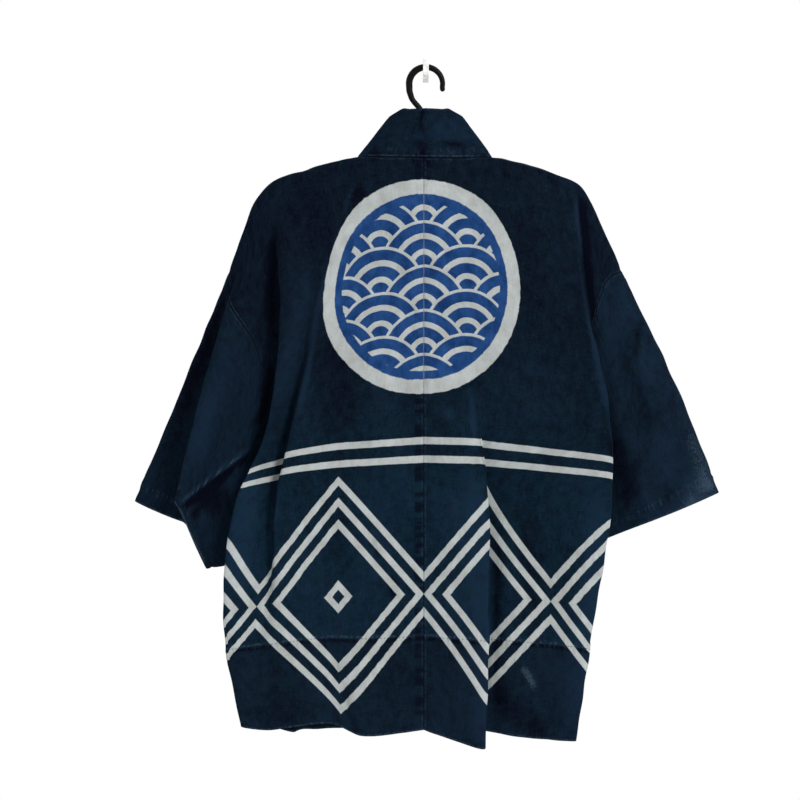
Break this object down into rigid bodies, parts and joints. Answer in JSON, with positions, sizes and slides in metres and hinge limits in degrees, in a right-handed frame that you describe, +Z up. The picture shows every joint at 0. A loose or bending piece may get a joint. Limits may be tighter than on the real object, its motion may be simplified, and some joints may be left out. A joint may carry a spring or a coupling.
{
  "type": "happi coat on a hanger and wall hook",
  "caption": "Short open-fronted cotton festival coat with wide sleeves and a banded collar, hung by its shoulders on a hanger from a strip wall hook.",
  "frame": {"origin": "centre of the wall hook's flat back face, on the wall plane", "axes": "+Z up, +Y into the wall, so the coat's back faces -Y, +X towards the coat's own right sleeve"},
  "size_m": [0.8232, 0.0938, 0.9658],
  "materials": {
    "indigo_cotton": "plain-woven, washed and slightly faded, with a reserve print",
    "collar_cotton": "plain-woven, folded double",
    "hanger_plastic": "smooth moulded",
    "hook_plastic": "smooth moulded"
  },
  "bodies": {
    "root": {"body_left": "indigo_cotton", "body_right": "indigo_cotton", "sleeve_left": "indigo_cotton", "sleeve_right": "indigo_cotton", "collar": "collar_cotton", "hanger": "hanger_plastic", "wall_hook": "hook_plastic"}
  },
  "joints": []
}
